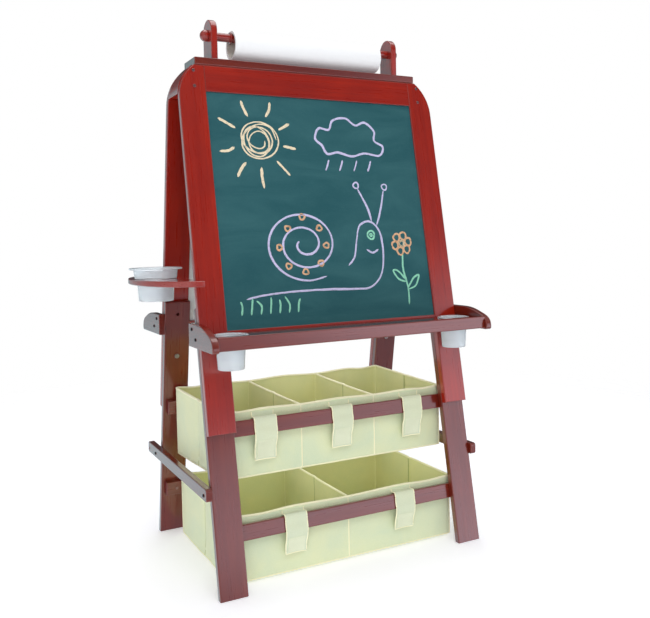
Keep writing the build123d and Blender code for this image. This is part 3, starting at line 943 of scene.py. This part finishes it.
def board_point(x, v, lift):
    """Point on the chalkboard's face, lifted off it a little."""
    y, z = slope_yz(v, -PANEL_INSET + lift)
    return Vector((MID_X / MM + x, -y, z))


def stroke(pile, points, width, seed, closed=False, steps=8):
    """Flat chalk line with ragged edges on the board, from (x, v) points."""
    path = smooth_path([(x, v, 0) for x, v in points], steps, closed)
    if closed:
        path.append(path[0])
    count = len(path)
    points3 = []
    for i, p in enumerate(path):
        along = (path[min(i + 1, count - 1)] - path[max(i - 1, 0)])
        along = along.normalized() if along.length else Vector((1, 0, 0))
        end = min(1.0, (i + 0.6) / 3, (count - 0.4 - i) / 3) if not closed else 1.0
        press = 0.8 + 0.25 * ripple(p.x, p.y, seed, 45)
        half = CHALK_SPREAD * width / 2 * press * end
        for share, lift in ((-1.0, 0.05), (-0.5, 0.45), (0.5, 0.45), (1.0, 0.05)):
            rag = 1 + 0.3 * ripple(p.x, p.y, seed + 5 * share, 5)
            off = half * share * rag
            points3.append(board_point(p.x - along.y * off, p.y + along.x * off, lift))
    faces = grid_faces(count, 4)
    pile.take(points3, [tuple(reversed(f)) for f in faces])


def circle(x, v, rx, ry, start=0.0, turns=1.0, count=12, wobble=0.06):
    """Points of a hand-drawn circle or oval."""
    total = int(count * turns)
    made = []
    for k in range(total + 1):
        a = start + 2 * pi * k / count
        r = 1 + wobble * sin(3 * a + x)
        made.append((x + rx * r * cos(a), v + ry * r * sin(a)))
    return made


def drawing():
    """A child's sun, cloud, snail and flower. Points are (x from the middle, v up the slope)."""
    cream, lilac, mint, orange = Pile(), Pile(), Pile(), Pile()

    # Sun: scribbled disc and rays
    sun_x, sun_v = -150.0, 950.0
    sun = []
    for k in range(46):
        a = 0.7 * k
        r = 44 - 0.55 * k - 7 * sin(0.47 * k)
        drift_x, drift_v = 4 * sin(0.9 * k), 3 * cos(0.8 * k)
        sun.append((sun_x + drift_x + r * cos(a), sun_v + drift_v + 1.05 * r * sin(a)))
    stroke(cream, sun, 3.4, 1.0, steps=6)
    rays = [(28, 58, 90), (68, 60, 98), (110, 58, 96), (152, 58, 102), (196, 60, 96), (236, 60, 100),
            (272, 60, 108), (312, 60, 104), (350, 60, 92)]
    for k, (angle, near, far) in enumerate(rays):
        a = radians(angle)
        bend = 3 * sin(2 * k)
        stroke(cream, [
            (sun_x + r * cos(a) + b, sun_v + r * sin(a) - b)
            for r, b in ((near, 0), ((near + far) / 2, bend), (far, 0))
        ], 6.0, 2.0 + k)

    # Cloud
    stroke(lilac, [
        (8, 945), (-8, 962), (4, 986), (30, 984), (42, 1006), (76, 1014), (102, 998), (128, 1006),
        (152, 986), (150, 962), (172, 948), (160, 926), (120, 930), (84, 922), (48, 930), (20, 926),
    ], 5.2, 12.0, closed=True)
    for k, x in enumerate((22, 58, 96, 134)):
        stroke(lilac, [(x, 912), (x - 5, 899), (x - 11, 886)], 4.0, 20.0 + k)

    # Snail: shell spiral, body, horns
    shell = []
    for k in range(34):
        a = 0.46 * k + 2.6
        r = 14 + 2.35 * k
        shell.append((-62 + 1.08 * r * cos(a), 716 + 0.92 * r * sin(a)))
    stroke(lilac, shell, 4.6, 30.0, steps=7)
    stroke(lilac, [
        (-212, 600), (-176, 606), (-130, 610), (-70, 612), (-10, 612), (50, 610), (96, 612), (128, 640),
        (140, 690), (136, 742), (112, 766), (84, 756), (72, 722), (62, 684), (44, 664),
    ], 4.6, 31.0)
    stroke(lilac, [(118, 766), (110, 800), (88, 846)], 4.4, 32.0)
    stroke(lilac, [(130, 756), (146, 794), (160, 842)], 4.4, 33.0)
    stroke(lilac, circle(86, 852, 7, 7), 4.0, 34.0)
    stroke(lilac, circle(163, 849, 7, 7), 4.0, 35.0)
    stroke(lilac, [(96, 700), (112, 692), (128, 700)], 4.0, 36.0)
    stroke(mint, circle(112, 734, 9, 10), 4.6, 37.0)
    stroke(mint, circle(112, 734, 3, 3), 4.0, 38.0)

    # Dots on the shell
    spots = [(-100, 752), (-62, 778), (-22, 752), (-8, 712), (-26, 672), (-66, 654), (-106, 668), (-124, 710)]
    for k, (x, v) in enumerate(spots):
        stroke(orange, circle(x, v, 6.5, 6.0, k, 1.25, 8, 0.12), 4.4, 40.0 + k)

    # Grass and flower
    for k in range(7):
        x = -226 + 22 * k
        lean_x = 8 * sin(2.3 * k)
        stroke(mint, [(x, 566), (x + 3, 584), (x + lean_x, 596 + 6 * (k % 2))], 4.2, 50.0 + k)
    stroke(mint, [(196, 566), (198, 606), (190, 652), (194, 690)], 4.6, 60.0)
    stroke(mint, [(197, 604), (216, 628), (232, 634), (220, 610), (198, 602)], 4.2, 61.0)
    stroke(mint, [(195, 624), (176, 646), (162, 648), (174, 628), (194, 620)], 4.2, 62.0)
    for k in range(6):
        a = radians(60 * k + 12)
        stroke(orange, circle(194 + 19 * cos(a), 712 + 19 * sin(a), 8.5, 9.5, a, 1.0, 9), 4.4, 70.0 + k)
    stroke(cream, circle(194, 712, 7, 7, 0, 2.0, 9, 0.2), 4.6, 80.0)

    for pile, name, material in (
        (cream, "cream", CREAM), (lilac, "lilac", LILAC), (mint, "mint", MINT), (orange, "orange", ORANGE),
    ):
        pile.make(f"chalk_drawing_{name}", [material], "frame", slot="chalkboard", sharp=60)


drawing()

# ---------------------------------------------------------------- studio


FLOOR_FADE = (1.3, 2.4)                 # metres: the floor melts into the white surroundings


def floor_material():
    """Plain pale floor."""
    s = Shader("studio_floor")
    place = s.place()
    fine = s.noise(place, 3.0, 2.0)
    reach = s.add("VectorMath", {0: place}, "Value", operation="LENGTH")
    return s.finish(
        Base_Color=s.blend(fine, rgb(250, 250, 253), rgb(247, 247, 251)),
        Alpha=s.span(reach, FLOOR_FADE[0], FLOOR_FADE[1], 1.0, 0.0),
        Roughness=0.9,
        Specular_IOR_Level=0.05,
        Emission_Color=(0.97, 0.97, 1.0, 1.0),
        Emission_Strength=0.3,
    )


def make_floor():
    size = 40.0
    corners = [(-size, -size, 0), (size, -size, 0), (size, size, 0), (-size, size, 0)]
    mesh = bpy.data.meshes.new("studio_floor")
    mesh.from_pydata(corners, [], [(0, 1, 2, 3)])
    mesh.materials.append(floor_material())
    floor = bpy.data.objects.new("studio_floor", mesh)
    scene.collection.objects.link(floor)
    floor.location.z = -0.0005
    floor.visible_glossy = False


def make_world():
    """White surroundings; dim for glossy rays, so that the stain keeps its depth."""
    world = bpy.data.worlds.new("studio")
    world.use_nodes = True
    tree = world.node_tree
    path = tree.nodes.new("ShaderNodeLightPath").outputs

    def surroundings(colour, strength):
        made = tree.nodes.new("ShaderNodeBackground")
        made.inputs["Color"].default_value = (*colour, 1.0)
        if isinstance(strength, bpy.types.NodeSocket):
            tree.links.new(strength, made.inputs["Strength"])
        else:
            made.inputs["Strength"].default_value = strength
        return made.outputs[0]

    def calc(operation, a, b=0.0, clamp=False):
        made = tree.nodes.new("ShaderNodeMath")
        made.operation, made.use_clamp = operation, clamp
        for socket, value in zip(made.inputs, (a, b)):
            if isinstance(value, bpy.types.NodeSocket):
                tree.links.new(value, socket)
            else:
                socket.default_value = value
        return made.outputs[0]

    def ramp(value, low, high, to_low, to_high):
        share = calc("DIVIDE", calc("SUBTRACT", value, low), high - low, True)
        return calc("ADD", calc("MULTIPLY", share, to_high - to_low), to_low)

    def choose(factor, otherwise, when):
        made = tree.nodes.new("ShaderNodeMixShader")
        for socket, value in zip(made.inputs, (factor, otherwise, when)):
            tree.links.new(value, socket)
        return made.outputs[0]

    # What the gloss mirrors: a dim room, a pale floor, and a bright band low on the right
    towards = tree.nodes.new("ShaderNodeSeparateXYZ")
    tree.links.new(tree.nodes.new("ShaderNodeTexCoord").outputs["Generated"], towards.inputs[0])
    towards_x, towards_y, towards_z = towards.outputs
    pale_floor = ramp(towards_z, 0.05, -0.12, 0.0, 0.3)
    half_band = ramp(towards_x, 0.34, 0.62, 0.11, 0.3)
    off_band = calc("DIVIDE", calc("ABSOLUTE", towards_z), half_band)
    band = calc("SUBTRACT", 2.0, calc("MULTIPLY", 2.0, off_band), True)
    band = calc("MULTIPLY", band, ramp(towards_x, 0.05, 0.35, 0.0, 1.35))
    band = calc("MULTIPLY", band, ramp(towards_x, 0.68, 0.9, 1.0, 0.3))
    band = calc("MULTIPLY", band, ramp(towards_z, 0.03, -0.1, 1.0, 1.5))
    ahead = calc("ADD", calc("MAXIMUM", pale_floor, band), 0.06)
    behind = calc("ADD", ramp(towards_z, 0.05, -0.15, 0.0, 0.8), 0.06)
    mirrored = choose(ramp(towards_y, 0.2, 0.5, 0.0, 1.0),
                      surroundings((0.96, 0.88, 1.0), ahead), surroundings((0.72, 0.94, 1.0), behind))
    seen = choose(path["Is Glossy Ray"], surroundings((0.97, 0.99, 1.0), 0.42), mirrored)
    seen = choose(path["Is Transmission Ray"], seen, surroundings((0.96, 0.98, 1.0), 0.9))
    seen = choose(path["Is Camera Ray"], seen, surroundings((1, 1, 1), 1.0))
    tree.links.new(seen, tree.nodes["World Output"].inputs["Surface"])
    scene.world = world


def panel(name, at, aim, width, height, radiance, colour=(1, 1, 1), diffuse=True, glossy=True):
    """Soft light panel with the given brightness."""
    light = bpy.data.lights.new(name, "AREA")
    light.shape = "RECTANGLE"
    light.size, light.size_y = width, height
    light.energy = radiance * pi * width * height
    light.color = colour
    made = bpy.data.objects.new(name, light)
    scene.collection.objects.link(made)
    made.location = at
    made.rotation_euler = (Vector(aim) - Vector(at)).to_track_quat("-Z", "Y").to_euler()
    made.visible_camera = False
    made.visible_diffuse = diffuse
    made.visible_glossy = glossy


make_floor()
make_world()
panel("key_soft", (-0.5, -2.6, 2.9), (0, -0.1, 0.75), 1.8, 1.4, 4.0, glossy=False)
panel("top_soft", (0.2, 0.2, 3.4), (0, 0, 0.5), 2.6, 2.6, 1.7)
panel("fill_soft", (-1.5, -2.9, 0.9), (0, 0, 0.5), 2.2, 1.4, 2.3, glossy=False)
panel("left_low_fill", (-2.2, -0.4, 0.35), (-0.2, 0, 0.25), 1.6, 0.6, 2.6, glossy=False)
panel("rear_fill", (1.2, 2.9, 1.4), (0, 0, 0.6), 2.2, 1.6, 1.6, glossy=False)
panel("upper_bin_fill", (MID_X, 0, 0.5), (MID_X, 0, 0), 0.5, 0.22, 1.35, glossy=False)
panel("lower_bin_fill", (MID_X, 0, 0.2), (MID_X, 0, 0), 0.5, 0.24, 0.6, glossy=False)
panel("left_back_sheen", (-1.9, 3.2, 1.6), (-0.3, 0, 1.0), 2.0, 1.9, 0.62, (0.5, 0.94, 1.0), diffuse=False)
scene.view_settings.view_transform = "Standard"
